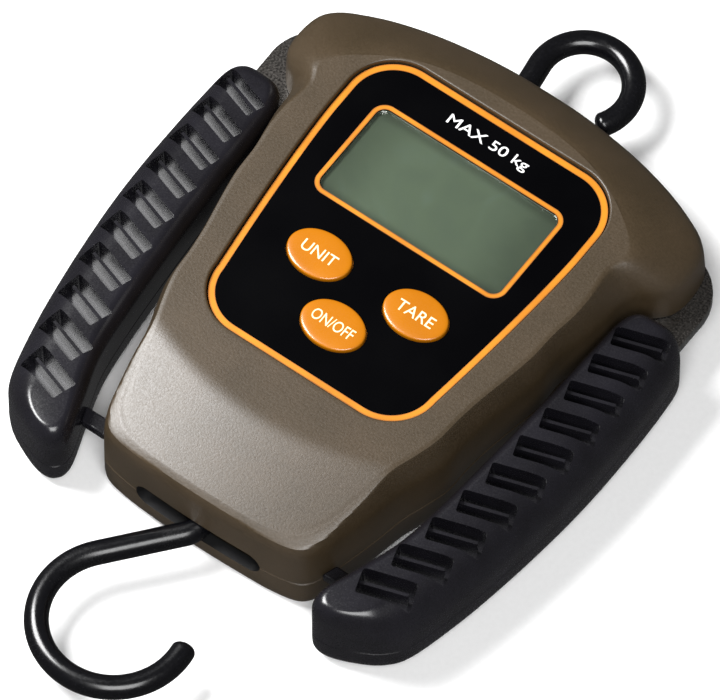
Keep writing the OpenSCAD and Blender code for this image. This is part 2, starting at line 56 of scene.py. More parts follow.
# Linear colour from an sRGB hex code
def linear(code):
    parts = [int(code[i:i + 2], 16) / 255 for i in (1, 3, 5)]
    return tuple(c / 12.92 if c <= 0.04045 else ((c + 0.055) / 1.055) ** 2.4 for c in parts) + (1.0,)


# Catmull-Rom curve through the points
def smoothLoop(points, steps, closed=True):
    p = np.array(points, float)
    n = len(p)
    out = []
    for i in range(n if closed else n - 1):
        if closed:
            a, b, c, d = p[i - 1], p[i], p[(i + 1) % n], p[(i + 2) % n]
        else:
            b, c = p[i], p[i + 1]
            a = p[i - 1] if i else 2 * b - c
            d = p[i + 2] if i + 2 < n else 2 * c - b
        for k in range(steps):
            t = k / steps
            out.append(0.5 * (2 * b + (c - a) * t + (2 * a - 5 * b + 4 * c - d) * t * t
                              + (3 * b - a - 3 * c + d) * t ** 3))
    if not closed:
        out.append(p[-1])
    return np.array(out)


# Moves a clockwise loop inwards by d
def inset(loop, d):
    t = np.roll(loop, -1, axis=0) - np.roll(loop, 1, axis=0)
    t /= np.linalg.norm(t, axis=1)[:, None]
    return loop + d * np.stack([t[:, 1], -t[:, 0]], axis=1)


def whole(half):
    return [list(q) for q in half] + [[-x, y] for x, y in half[-2:0:-1]]


def atZ(loop, z):
    return np.column_stack([loop, np.broadcast_to(z, len(loop))])


def softMin(a, b, k):
    h = np.clip(0.5 + 0.5 * (b - a) / k, 0, 1)
    return b * (1 - h) + a * h - k * h * (1 - h)


# Object of one or more closed solids, with all faces looking outwards
def newObject(name, points, faces):
    mesh = bpy.data.meshes.new(name)
    mesh.from_pydata([metres(p) for p in points], [], faces)
    mesh.update()
    ob = bpy.data.objects.new(name, mesh)
    scene.collection.objects.link(ob)
    bm = bmesh.new()
    bm.from_mesh(mesh)
    bmesh.ops.recalc_face_normals(bm, faces=bm.faces)
    bm.to_mesh(mesh)
    bm.free()
    return ob


# One list of points and faces from several solids
def together(solids):
    points, faces = [], []
    for p, f in solids:
        faces += [[i + len(points) for i in q] for q in f]
        points += list(p)
    return points, faces


# A closed piece, cut by the given solids and shaded smooth below an angle
def meshPiece(name, points, faces, material, body, nodes, slot, angle=30, cuts=()):
    ob = newObject(name, points, faces)
    if cuts:
        cutter = newObject("cutter", *together(cuts))
        mod = ob.modifiers.new("cut", "BOOLEAN")
        mod.operation, mod.solver, mod.object = "DIFFERENCE", "EXACT", cutter
        mod.use_self = True
        solid = bpy.data.meshes.new_from_object(ob.evaluated_get(bpy.context.evaluated_depsgraph_get()))
        ob.modifiers.clear()
        ob.data = solid
        bpy.data.objects.remove(cutter)
    dress(ob, material, body, nodes, angle)
    return ob


# Shading, finish and place in the frame for one piece
def dress(ob, material, body, nodes, angle=30):
    if ob.data.materials:
        ob.data.materials.clear()
    ob.data.materials.append(material)
    ob.data.polygons.foreach_set("use_smooth", [True] * len(ob.data.polygons))
    ob.data.set_sharp_from_angle(angle=math.radians(angle))
    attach(ob, body)
    if nodes:
        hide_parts(*nodes)


# Points and faces of a skin through rings of equal length
def tube(rings, closed=False):
    n = len(rings[0])
    points = [tuple(p) for r in rings for p in r]
    faces = []
    m = len(rings)
    for k in range(m if closed else m - 1):
        a, b = k * n, ((k + 1) % m) * n
        faces += [[a + i, a + (i + 1) % n, b + (i + 1) % n, b + i] for i in range(n)]
    if not closed:
        faces.append(list(range(n - 1, -1, -1)))
        faces.append([(m - 1) * n + i for i in range(n)])
    return points, faces


def block(x0, x1, y0, y1, z0, z1):
    loop = [(x0, y0), (x0, y1), (x1, y1), (x1, y0)]
    return tube([[(x, y, z) for x, y in loop] for z in (z0, z1)])


def drum(x, y, z0, z1, r, n=64):
    loop = [(x + r * math.cos(2 * math.pi * i / n), y - r * math.sin(2 * math.pi * i / n)) for i in range(n)]
    return tube([[(a, b, z) for a, b in loop] for z in (z0, z1)])


def oval(cx, cy, a, b, n=96):
    return np.array([[cx - a * math.cos(2 * math.pi * i / n), cy + b * math.sin(2 * math.pi * i / n)]
                     for i in range(n)])


# Clockwise rounded rectangle, half sizes w and h
def roundRect(cx, cy, w, h, r, n=12):
    out = []
    for k, (sx, sy) in enumerate([(-1, 1), (1, 1), (1, -1), (-1, -1)]):
        for i in range(n + 1):
            a = math.radians(180 - 90 * k - 90 * i / n)
            out.append([cx + sx * (w - r) + r * math.cos(a), cy + sy * (h - r) + r * math.sin(a)])
    return np.array(out)


# Materials

def newMaterial(name):
    mat = bpy.data.materials.new(name)
    mat.use_nodes = True
    return mat, mat.node_tree.nodes["Principled BSDF"]


# Adds a node, sets attributes and sockets, and links sockets from (node, output) pairs
def addNode(mat, kind, settings=None, links=None):
    node = mat.node_tree.nodes.new(kind)
    for key, value in (settings or {}).items():
        if key.startswith("@"):
            setattr(node, key[1:], value)
        else:
            node.inputs[int(key) if key.isdigit() else key].default_value = value
    for key, (src, out) in (links or {}).items():
        mat.node_tree.links.new(src.outputs[out], node.inputs[int(key) if key.isdigit() else key])
    return node


def ramp(mat, src, out, stops):
    node = mat.node_tree.nodes.new("ShaderNodeValToRGB")
    node.color_ramp.elements[0].position, node.color_ramp.elements[0].color = stops[0][0], stops[0][1]
    node.color_ramp.elements[1].position, node.color_ramp.elements[1].color = stops[-1][0], stops[-1][1]
    for pos, col in stops[1:-1]:
        node.color_ramp.elements.new(pos).color = col
    mat.node_tree.links.new(src.outputs[out], node.inputs["Fac"])
    return node


def grey(v):
    return (v, v, v, 1.0)


# Fine spark-eroded grain with slow colour drift; look gives colours, gloss and grain size in mm
def mouldedPlastic(name, look):
    mat, bsdf = newMaterial(name)
    coord = addNode(mat, "ShaderNodeTexCoord")
    drift = addNode(mat, "ShaderNodeTexNoise", {"Scale": 1000 / look["driftMm"], "Detail": 3.0},
                    {"Vector": (coord, "Object")})
    grain = addNode(mat, "ShaderNodeTexNoise",
                    {"Scale": 1000 / look["grainMm"], "Detail": 4.0, "Roughness": 0.65},
                    {"Vector": (coord, "Object")})
    base = ramp(mat, drift, "Fac", [(0.35, linear(look["dark"])), (0.65, linear(look["light"]))])
    fleck = ramp(mat, grain, "Fac", [(0.3, grey(1 - look["fleck"])), (0.7, grey(1 + look["fleck"]))])
    colour = addNode(mat, "ShaderNodeMix", {"@data_type": "RGBA", "@blend_type": "MULTIPLY", "Factor": 1.0},
                     {"6": (base, "Color"), "7": (fleck, "Color")})
    gloss = ramp(mat, grain, "Fac", [(0.3, grey(look["rough"] - 0.05)), (0.7, grey(look["rough"] + 0.05))])
    bump = addNode(mat, "ShaderNodeBump", {"Strength": look["bump"], "Distance": look["bumpMm"] / 1000},
                   {"Height": (grain, "Fac")})
    wire(mat, bsdf, {"Base Color": (colour, 2), "Roughness": (gloss, "Color"), "Normal": (bump, "Normal")})
    bsdf.inputs["Specular IOR Level"].default_value = look.get("spec", 0.5)
    if "coat" in look:
        bsdf.inputs["Coat Weight"].default_value = look["coat"]
        bsdf.inputs["Coat Roughness"].default_value = look.get("coatRough", 0.1)
    return mat


def wire(mat, node, links):
    for key, (src, out) in links.items():
        mat.node_tree.links.new(src.outputs[out], node.inputs[key])


# Metal with a worked surface: stretched or even scratches over a soft cloud of roughness
def metal(name, look):
    mat, bsdf = newMaterial(name)
    coord = addNode(mat, "ShaderNodeTexCoord")
    stretch = addNode(mat, "ShaderNodeMapping", {"Scale": look.get("stretch", (1, 1, 1))},
                      {"Vector": (coord, "Object")})
    lines = addNode(mat, "ShaderNodeTexNoise", {"Scale": 1000 / look["grainMm"], "Detail": 5.0},
                    {"Vector": (stretch, "Vector")})
    cloud = addNode(mat, "ShaderNodeTexNoise", {"Scale": 1000 / 9.0, "Detail": 2.0},
                    {"Vector": (coord, "Object")})
    tone = ramp(mat, lines, "Fac", [(0.3, linear(look["dark"])), (0.7, linear(look["light"]))])
    both = addNode(mat, "ShaderNodeMath", {"@operation": "ADD"}, {"0": (lines, "Fac"), "1": (cloud, "Fac")})
    rough = addNode(mat, "ShaderNodeMapRange", {
        "From Min": 0.7, "From Max": 1.3, "To Min": look["rough"] * 0.75, "To Max": look["rough"] * 1.3},
        {"Value": (both, "Value")})
    bump = addNode(mat, "ShaderNodeBump", {"Strength": look["bump"], "Distance": look["bumpMm"] / 1000},
                   {"Height": (lines, "Fac")})
    wire(mat, bsdf, {"Base Color": (tone, "Color"), "Roughness": (rough, "Result"), "Normal": (bump, "Normal")})
    bsdf.inputs["Metallic"].default_value = look.get("metal", 1.0)
    return mat


# Olive moulded ABS: fine grain breaks the reflections up and keeps the case matt
caseMat = mouldedPlastic("olive moulded abs", {
    "dark": "#392e1e", "light": "#3f3323", "driftMm": 14, "grainMm": 0.52, "fleck": 0.16,
    "rough": 0.40, "bump": 0.7, "bumpMm": 0.055, "spec": 0.66})
# Black moulded nylon of the grips: smoother than the case, so its rounded edges catch clear highlights
gripMat = mouldedPlastic("black moulded nylon", {
    "dark": "#121115", "light": "#18171c", "driftMm": 10, "grainMm": 0.4, "fleck": 0.08,
    "rough": 0.25, "bump": 0.05, "bumpMm": 0.03, "spec": 0.55})
# Printed polyester panel film: deep black, faint texture
panelMat = mouldedPlastic("black printed film", {
    "dark": "#020203", "light": "#040405", "driftMm": 20, "grainMm": 0.25, "fleck": 0.05,
    "rough": 0.38, "bump": 0.03, "bumpMm": 0.02, "spec": 0.03})
# Moulded black ABS of the small inner parts: dull, so openings stay dark. It is also laid on the walls of the
# hook's slot as painted shade
blackPartsAndSlotShadeMat = mouldedPlastic("small black moulding and painted slot shade", {
    "dark": "#101011", "light": "#171718", "driftMm": 5, "grainMm": 0.3, "fleck": 0.08,
    "rough": 0.45, "bump": 0.1, "bumpMm": 0.03})
# Moulded rubber: hardly any shine
gasketMat = mouldedPlastic("gasket rubber", {
    "dark": "#1c1c1c", "light": "#242424", "driftMm": 6, "grainMm": 0.2, "fleck": 0.1,
    "rough": 0.8, "bump": 0.2, "bumpMm": 0.04})
# Glossy orange key caps under a thin clear coat
keyMat = mouldedPlastic("orange key plastic", {
    "dark": "#a96301", "light": "#af6803", "driftMm": 9, "grainMm": 0.3, "fleck": 0.012,
    "rough": 0.30, "bump": 0.03, "bumpMm": 0.02, "coat": 0.4, "coatRough": 0.12})
# Screen-printed orange, light and dark tones, and cream lettering
trimMat = mouldedPlastic("orange print", {
    "dark": "#b87006", "light": "#c47d10", "driftMm": 8, "grainMm": 0.2, "fleck": 0.06,
    "rough": 0.45, "bump": 0.05, "bumpMm": 0.01})
trimDarkMat = mouldedPlastic("dark orange print", {
    "dark": "#9c5a0c", "light": "#b06a12", "driftMm": 8, "grainMm": 0.2, "fleck": 0.06,
    "rough": 0.5, "bump": 0.05, "bumpMm": 0.01})
creamMat = mouldedPlastic("cream print", {
    "dark": "#f3dfae", "light": "#f8e8bf", "driftMm": 4, "grainMm": 0.15, "fleck": 0.04,
    "rough": 0.5, "bump": 0.04, "bumpMm": 0.01})
whiteMat = mouldedPlastic("white print", {
    "dark": "#e9e9e9", "light": "#f4f4f4", "driftMm": 4, "grainMm": 0.15, "fleck": 0.04,
    "rough": 0.5, "bump": 0.04, "bumpMm": 0.01})
# Solder mask over glass fibre: a glossy green skin
boardMat = mouldedPlastic("green solder mask", {
    "dark": "#1d4f2a", "light": "#2b6a3a", "driftMm": 3, "grainMm": 0.2, "fleck": 0.1,
    "rough": 0.3, "bump": 0.15, "bumpMm": 0.02, "coat": 0.5})
# Bent steel rod and pressed arms under dark plating: the rod glossy black, the arms grey with specks
rodMat = metal("black plated rod", {
    "dark": "#050507", "light": "#0b0b0e", "grainMm": 0.5, "rough": 0.22, "bump": 0.06, "bumpMm": 0.02,
    "metal": 0.0})
armMat = metal("dark plated arm", {
    "dark": "#2a2826", "light": "#6c6864", "grainMm": 0.5, "rough": 0.28, "bump": 0.35, "bumpMm": 0.03,
    "metal": 0.75})
# Sheared steel edge of the arms, polished bright by handling
edgeMat = metal("bright sheared edge", {
    "dark": "#9a9a98", "light": "#e2e2de", "grainMm": 0.6, "stretch": (1, 1, 0.2), "rough": 0.22,
    "bump": 0.15, "bumpMm": 0.02})
# Cold-rolled steel plate: fine lines along the rolling
steelMat = metal("rolled steel plate", {
    "dark": "#76797c", "light": "#a9adb0", "grainMm": 0.4, "stretch": (0.15, 1, 1), "rough": 0.35,
    "bump": 0.15, "bumpMm": 0.02})
# Zinc-plated screws and pins: pale, slightly cloudy shine
zincMat = metal("zinc plated steel", {
    "dark": "#a9adb2", "light": "#d2d5d8", "grainMm": 0.5, "rough": 0.28, "bump": 0.12, "bumpMm": 0.02})
# Machined aluminium: fine cutter lines across the bar
aluminiumMat = metal("machined aluminium", {
    "dark": "#b5b8bb", "light": "#dddfe0", "grainMm": 0.3, "stretch": (1, 0.1, 1), "rough": 0.3,
    "bump": 0.2, "bumpMm": 0.02})
# Nickel-plated spring strip: warm, bright and almost even
nickelMat = metal("nickel contact", {
    "dark": "#b8b5ae", "light": "#dcd9d2", "grainMm": 0.6, "rough": 0.2, "bump": 0.08, "bumpMm": 0.02})
# Printed and lacquered jacket of a cell: plain brass tone under gloss
batteryMat = mouldedPlastic("battery jacket", {
    "dark": "#8f6d2c", "light": "#b48b3c", "driftMm": 6, "grainMm": 0.4, "fleck": 0.05,
    "rough": 0.28, "bump": 0.05, "bumpMm": 0.02, "coat": 0.5})
print("materials ready")

# Case front

rimHalf = [
    [0, 41], [10, 40.8], [19, 39.9], [28.2, 38.4], [37.6, 36], [44.8, 33.2], [49.6, 30.6], [52.6, 27],
    [53.6, 21], [52.9, 15.6], [50.2, 12], [47, 9.4], [45.5, 6.2], [45, 0.5], [43.8, -6], [42.3, -13],
    [42.2, -20], [40.9, -27], [39.4, -35], [38.6, -42], [38.3, -49], [36.6, -55], [34.6, -61],
    [33, -69], [31.3, -76], [29.6, -82], [26.6, -86.8], [20, -88.6], [10, -89.2], [0, -89.4]]
flatHalf = [
    [0, 29.6], [9, 29.3], [17, 28.3], [24, 26.4], [30.5, 23.4], [35.5, 20.4], [38.8, 18], [41, 15.9],
    [42.3, 13.6], [42.2, 11.6], [41.2, 9.6], [40.5, 7.6], [40.6, 5], [41.2, 0], [41.2, -6], [40.3, -13],
    [39.9, -20], [38.8, -27], [37.2, -35], [36.2, -42], [35.6, -49], [34, -55], [32, -61],
    [30.3, -69], [28.6, -75.5], [26.6, -81], [22.6, -84.8], [16, -86.4], [8, -86.9], [0, -87]]
rimLoop = smoothLoop(whole(rimHalf), 6)
flatLoop = smoothLoop(whole(flatHalf), 6)
panelSize = {"top": 33.8, "low": 29.5, "y1": 24.9, "y0": -53.4, "r": 12}


# Panel outline grown outwards, sampled where rays to the target loop cross it, or evenly by angle
def panelRing(grow, target=None, n=None):
    t, l = panelSize["top"] + grow, panelSize["low"] + grow
    y1, y0, r = panelSize["y1"] + grow, panelSize["y0"] - grow, panelSize["r"] + grow
    half = [[x, y1] for x in np.linspace(0, t - r, 40)[:-1]]
    half += [[t - r + r * math.sin(a), y1 - r + r * math.cos(a)] for a in np.linspace(0, math.pi / 2, 24)]
    half += [[t, y] for y in np.linspace(y1 - r, 6, 6)[1:-1]]
    half += [[t - (t - l) * s ** 1.4, 6 + (y0 + r - 6) * s] for s in np.linspace(0, 1, 24)]
    half += [[l - r + r * math.cos(a), y0 + r - r * math.sin(a)] for a in np.linspace(0, math.pi / 2, 24)[1:]]
    half += [[x, y0] for x in np.linspace(l - r, 0, 40)[1:]]
    loop = np.array(whole(half))
    centre = np.array([0, -14.2])
    ang = np.unwrap(np.arctan2(*(loop - centre).T))
    rad = np.linalg.norm(loop - centre, axis=1)
    if target is None:
        want = np.linspace(0, 2 * math.pi, n, endpoint=False)
    else:
        want = np.arctan2(*(target - centre).T) % (2 * math.pi)
    ext = np.concatenate([ang, [ang[0] + 2 * math.pi]])
    r = np.interp(want, ext, np.concatenate([rad, [rad[0]]]))
    return centre + np.stack([r * np.sin(want), r * np.cos(want)], axis=1)


# Height of the flat front and of the lower facet past its curved crease, lowered by sink
def frontTop(xy, sink=0.0):
    crease = -68.2 + 6.2 * np.clip(np.abs(xy[:, 0]) / 31, 0, 1.3) ** 2
    facet = frontZ - math.tan(math.radians(14)) * (crease - xy[:, 1])
    return softMin(np.full(len(xy), frontZ), facet, 0.5) - sink


def mixLoops(b):
    return rimLoop + (flatLoop - rimLoop) * b


# Height share, inward share: wall, soft crease, bevel, soft edge of the flat
frontProfile = [
    (0.02, 0.0), (0.12, 0.003), (0.24, 0.010), (0.36, 0.019), (0.44, 0.028), (0.50, 0.038), (0.54, 0.050),
    (0.570, 0.065), (0.595, 0.085), (0.618, 0.112), (0.640, 0.145), (0.665, 0.188), (0.70, 0.255),
    (0.75, 0.358), (0.80, 0.468), (0.85, 0.585), (0.89, 0.680), (0.92, 0.757), (0.945, 0.830),
    (0.965, 0.892), (0.98, 0.945), (0.991, 0.992)]
span = frontZ - seamZ
rings = [atZ(inset(rimLoop, 0.28), seamZ + 0.001)]
for h, b in frontProfile:
    loop = mixLoops(b)
    facetCap = frontTop(loop) - (1 - h) * 1.5
    rings.append(atZ(loop, softMin(np.full(len(loop), seamZ + h * span), facetCap, 0.4)))
lip = panelRing(0.65, flatLoop)
flatIn = inset(flatLoop, 0.45)
flatSteps = 33
for k in range(flatSteps + 1):
    loop = flatIn + (lip - flatIn) * (k / flatSteps)
    rings.append(atZ(loop, frontTop(loop) - 0.06 * max(0, 1 - k / 2)))
for grow, drop in [(0.5, 0.02), (0.36, 0.08), (0.26, 0.19), (0.2, 0.34), (0.18, 0.6), (0.18, frontZ - seatZ)]:
    loop = panelRing(grow, flatLoop)
    rings.append(atZ(loop, frontZ - drop))
for grow, z in [(-3.2, seatZ), (-3.2, seatZ - 2)]:
    rings.append(atZ(panelRing(grow, flatLoop), z))
rings.append(atZ(panelRing(1.6, flatLoop), seatZ - 2))
for h, b, d in [(0.88, 0.95, 1.4), (0.62, 0.5, 1.9), (0.5, 0.12, 2.2), (0.3, 0.02, 2.4), (0.0, 0.0, 2.6)]:
    loop = inset(mixLoops(b), d)
    top = frontTop(loop, 2.2)
    rings.append(atZ(loop, np.minimum(seamZ + h * span, top)))
rings[-1][:, 2] = seamZ + 0.001
# Room in the case for the round ears of the arms, for the hook's rod and for the eye's rod
opening = {"earR": 14.3, "earHalf": 1.9, "slotW": 33.4, "slotHalf": 3.25, "eyeX0": -13.5, "eyeX1": -1.2}
earCut = [drum(s * pivotX, pivotY, 0, seamZ + opening["earHalf"], opening["earR"], 96) for s in (1, -1)]
earCutLow = [drum(s * pivotX, pivotY, seamZ - opening["earHalf"], 40, opening["earR"], 96) for s in (1, -1)]
slotLoop = roundRect(0, seamZ, opening["slotW"] / 2, opening["slotHalf"], opening["slotHalf"] - 0.01)
slotCut = tube([[(x, y, z) for x, z in slotLoop] for y in (-95, -80)])
eyeCut = block(opening["eyeX0"], opening["eyeX1"], 33, 60,
               seamZ - opening["slotHalf"], seamZ + opening["slotHalf"])
front = meshPiece("caseFront", *tube(rings, closed=True), caseMat, "case", ["front_shell"], "case_olive", 26,
                  [slotCut, eyeCut] + earCut)

# Case back, with its battery door opening and screw wells
rings = []
# Height and inset: rounded back edge, side wall, then the inside
for z, d in [(0, 2.4), (0.12, 1.75), (0.5, 1.05), (1.1, 0.55), (2.0, 0.2), (3.2, 0.06), (5, 0), (9.2, 0),
             (seamZ - 0.05, 0.28)]:
    rings.append(atZ(inset(rimLoop, d), z))
for z, d in [(seamZ - 0.05, 2.6), (2.2, 2.8)]:
    rings.append(atZ(inset(rimLoop, d), z))
door = {"w": 23.0, "y0": -39.7, "y1": 10.7, "deep": 1.65}
doorBlock = block(-door["w"], door["w"], door["y0"], door["y1"], -1, door["deep"])
backPoints, backFaces = tube(rings)
wells = []
for x, y in [(26, 32), (32.8, -31), (23.4, -78)]:
    wells += [drum(s * x, y, -1, 1.2, 2.9) for s in (1, -1)]
backCuts = [doorBlock, slotCut, eyeCut] + earCutLow + wells
back = meshPiece("caseBack", backPoints, backFaces, caseMat, "case", ["back_shell"], "case_olive", 26, backCuts)
# The walls of the hook's slot get the dull black material as painted shade, so that the slot reads as a dark
# opening
slotShadeBox = [metres((-17, -88.35, seamZ - 3.4)), metres((17, -60, seamZ + 3.4))]
for ob in (front, back):
    ob.data.materials.append(blackPartsAndSlotShadeMat)
    for face in ob.data.polygons:
        if all(a < c < b for a, c, b in zip(slotShadeBox[0], face.center, slotShadeBox[1])):
            face.material_index = 1
print("case ready")

# Key panel
window = {"w": 48.8, "h": 24.8, "r": 2.4}
keySpots = {"unit": (-13, -26.4), "tare": (13, -26.4), "power": (0, -39.1)}
keySize = {"a": 7.85, "b": 5.8}


def panelRings(levels):
    return [atZ(panelRing(g, n=480), z) for g, z in levels]


def prism(loop, z0, z1):
    return tube([atZ(loop, z0), atZ(loop, z1)])


windowCut = prism(roundRect(0, 0, window["w"] / 2, window["h"] / 2, window["r"]), 20, 30)
keyCuts = [prism(oval(x, y, keySize["a"] + 0.25, keySize["b"] + 0.25), 20, 30) for x, y in keySpots.values()]
meshPiece("keyPanel", *tube(panelRings([(0, seatZ + 0.15), (0, panelZ - 0.12), (-0.12, panelZ)])), panelMat,
          "case", ["faceplate"], "panel_black", 30, [windowCut] + keyCuts)


# Flat printed band between two loops
def printedLine(name, outer, inner, material):
    low, high = panelZ - 0.02, panelZ + 0.03
    ring = [atZ(outer, low), atZ(outer, high), atZ(inner, high), atZ(inner, low)]
    meshPiece(name, *tube(ring, closed=True), material, "case", [], "panel_black")


edgeBands = [("trimOuterEdge", -0.22, -0.46, trimDarkMat), ("trimBand", -0.46, -1.52, trimMat),
             ("trimInnerEdge", -1.52, -1.72, trimDarkMat)]
for name, g0, g1, mat in edgeBands:
    printedLine(name, panelRing(g0, n=480), panelRing(g1, n=480), mat)


def windowLoop(grow):
    return roundRect(0, 0, window["w"] / 2 + grow, window["h"] / 2 + grow, window["r"] + grow, 20)


windowBands = [("windowOuterEdge", 1.12, 0.86, trimDarkMat), ("windowBand", 0.86, 0.30, trimMat),
               ("windowInnerEdge", 0.30, 0.02, trimDarkMat)]
for name, g0, g1, mat in windowBands:
    printedLine(name, windowLoop(g0), windowLoop(g1), mat)

# Clear acrylic window: sees through, with a soft sheen
lensMat = newMaterial("clear acrylic")[0]
coord = addNode(lensMat, "ShaderNodeTexCoord")
smears = addNode(lensMat, "ShaderNodeTexNoise", {"Scale": 90.0, "Detail": 4.0, "Distortion": 1.5},
                 {"Vector": (coord, "Object")})
smearRough = ramp(lensMat, smears, "Fac", [(0.35, grey(0.06)), (0.7, grey(0.2))])
see = addNode(lensMat, "ShaderNodeBsdfTransparent", {"Color": (0.93, 0.95, 0.92, 1)})
sheen = addNode(lensMat, "ShaderNodeBsdfGlossy", {}, {"Roughness": (smearRough, "Color")})
rim = addNode(lensMat, "ShaderNodeFresnel", {"IOR": 1.49})
mixed = addNode(lensMat, "ShaderNodeMixShader", {},
                {"0": (rim, "Fac"), "1": (see, "BSDF"), "2": (sheen, "BSDF")})
lensMat.node_tree.links.new(mixed.outputs[0], lensMat.node_tree.nodes["Material Output"].inputs["Surface"])
lensProfile = [(-0.05, seatZ + 0.15), (-0.05, panelZ - 0.35), (-0.15, panelZ - 0.25)]
lensRings = [atZ(windowLoop(g), z) for g, z in lensProfile]
meshPiece("windowLens", *tube(lensRings), lensMat, "case", ["display_lens"], "clear_lens")

# Reflective liquid-crystal glass: green grey, with painted shade darkening it towards its edge, and faint
# swirls
displayMat, displayBsdf = newMaterial("liquid crystal glass")
coord = addNode(displayMat, "ShaderNodeTexCoord")
swirl = addNode(displayMat, "ShaderNodeTexNoise", {"Scale": 60.0, "Detail": 5.0, "Distortion": 2.5},
                {"Vector": (coord, "Object")})
tone = ramp(displayMat, swirl, "Fac",
            [(0.25, linear("#5f6a5e")), (0.55, linear("#646f60")), (0.8, linear("#68746a"))])
split = addNode(displayMat, "ShaderNodeSeparateXYZ", {}, {"Vector": (coord, "Object")})
centred = addNode(displayMat, "ShaderNodeMath", {"@operation": "SUBTRACT", "1": displayY / 1000},
                  {"0": (split, "Y")})
nearX = addNode(displayMat, "ShaderNodeMath", {"@operation": "ABSOLUTE"}, {"0": (split, "X")})
nearY = addNode(displayMat, "ShaderNodeMath", {"@operation": "ABSOLUTE"}, {"0": (centred, "Value")})
# Painted shade: the colour is darkened towards the edges of the display
edgeShadeX = addNode(displayMat, "ShaderNodeMapRange", {
    "@interpolation_type": "SMOOTHSTEP", "From Min": 0.010, "From Max": 0.0243, "To Min": 1.0, "To Max": 0.68},
    {"Value": (nearX, "Value")})
edgeShadeY = addNode(displayMat, "ShaderNodeMapRange", {
    "@interpolation_type": "SMOOTHSTEP", "From Min": 0.0095, "From Max": 0.0122, "To Min": 1.0, "To Max": 0.6},
    {"Value": (nearY, "Value")})
edgeShade = addNode(displayMat, "ShaderNodeMath", {"@operation": "MULTIPLY"},
               {"0": (edgeShadeX, "Result"), "1": (edgeShadeY, "Result")})
edgeShadedTone = addNode(displayMat, "ShaderNodeMix", {"@data_type": "RGBA", "@blend_type": "MULTIPLY", "Factor": 1.0},
                 {"6": (tone, "Color"), "7": (edgeShade, "Value")})
wire(displayMat, displayBsdf, {"Base Color": (edgeShadedTone, 2)})
displayBsdf.inputs["Roughness"].default_value = 0.35

# Keys with their words


# Raised print of a word, fitted to a width and height in mm
def lettering(name, text, cx, cy, z, width, height, material, body, weight=0.0):
    curve = bpy.data.curves.new(name, "FONT")
    curve.body = text
    curve.size = 1.0
    curve.extrude = 0.01
    curve.offset = weight
    curve.resolution_u = 6
    textOb = bpy.data.objects.new(name, curve)
    scene.collection.objects.link(textOb)
    mesh = bpy.data.meshes.new_from_object(textOb.evaluated_get(bpy.context.evaluated_depsgraph_get()))
    bpy.data.objects.remove(textOb)
    co = np.array([v.co for v in mesh.vertices])
    lo, hi = co.min(0), co.max(0)
    for v in mesh.vertices:
        u = ((v.co.x - lo[0]) / (hi[0] - lo[0]) - 0.5) * width
        w = ((v.co.y - lo[1]) / (hi[1] - lo[1]) - 0.5) * height
        t = (v.co.z - lo[2]) / (hi[2] - lo[2]) * 0.06 - 0.03
        v.co = metres((cx + u, cy + w, z + t))
    ob = bpy.data.objects.new(name, mesh)
    scene.collection.objects.link(ob)
    dress(ob, material, body, [], 30)


# Inset and height: straight side, small round, then a nearly flat top
keyProfile = [
    (0, seatZ - 0.01), (0, panelZ + 0.28), (0.03, panelZ + 0.42), (0.11, panelZ + 0.56), (0.24, panelZ + 0.67),
    (0.42, panelZ + 0.74), (0.75, panelZ + 0.80), (1.5, panelZ + 0.85), (2.8, panelZ + 0.89)]
words = {"unit": ("UNIT", 8.9), "tare": ("TARE", 9.6), "power": ("ON/OFF", 10.8)}
for key, (x, y) in keySpots.items():
    a, b = keySize["a"], keySize["b"]
    solids = [tube([atZ(oval(x, y, a - d, b - d), z) for d, z in keyProfile]),
              prism(oval(x, y, a + 0.7, b + 0.7), seatZ - 1.3, seatZ - 0.05),
              drum(x, y, seatZ - 4.3, seatZ - 0.5, 2)]
    meshPiece(key + "Key", *together(solids), keyMat, key + "_key", [key + "_button"], "key_orange", 40)
    word, width = words[key]
    lettering(key + "Word", word, x, y, panelZ + 0.90, width, 2.8, creamMat, key + "_key")
capacity = {"text": "MAX 50 kg", "y": 18.2, "wide": 21.5, "high": 3.4, "weight": 0.004}
lettering("capacityWord", capacity["text"], 0, capacity["y"], panelZ + 0.01, capacity["wide"], capacity["high"],
          whiteMat, "case", capacity["weight"])
print("panel ready")

# Grips
gripLine = [
    [53, 8.2], [58.4, 7.8], [61.9, 4.4], [63, -4], [63.3, -18.3], [62.9, -32.8],
    [61.7, -46], [60, -58.7], [57.8, -71], [54.4, -84], [50.7, -89.4], [45.2, -92.8], [38.8, -95],
    [34.8, -94.2], [33.6, -90], [36.9, -80], [40.3, -69.5], [42.1, -57], [43.3, -44], [44.3, -31],
    [45, -18], [45.6, -6], [46.4, 3], [48.8, 7.2]]
gripLoop = smoothLoop(gripLine, 8)
gripSeam, gripLow, gripTop = 8.0, 1.5, 21.5
pocket = {"count": 10, "start": 3, "first": 4.9, "grow": 0.29, "bar": 3.5, "turn": 18, "deep": 5.5,
          "ribTop": 1.5, "rib": 0.5, "in": -5.9, "out": 6.6}


# Middle of the right grip at a distance down it
def gripMid(s):
    return np.array([54 - 10.5 * (s / 91) ** 2.8, 3 - s])


# Each outline point moves towards the spine as it rises, further on the outer side
spine = np.array([gripMid(s) for s in np.linspace(4.0, 88.0, 169)])
toSpine = np.array([spine[np.argmin(np.linalg.norm(spine - q, axis=1))] for q in gripLoop])
sideways = np.clip(((gripLoop - toSpine)[:, 0] / np.linalg.norm(toSpine - gripLoop, axis=1) - 0.6) / 0.36, 0, 1)
outward = sideways * sideways * (3 - 2 * sideways)
for step in range(60):
    toSpine = (np.roll(toSpine, 1, axis=0) + 2 * toSpine + np.roll(toSpine, -1, axis=0)) / 4
    outward = (np.roll(outward, 1) + 2 * outward + np.roll(outward, -1)) / 4
reach = np.linalg.norm(toSpine - gripLoop, axis=1)


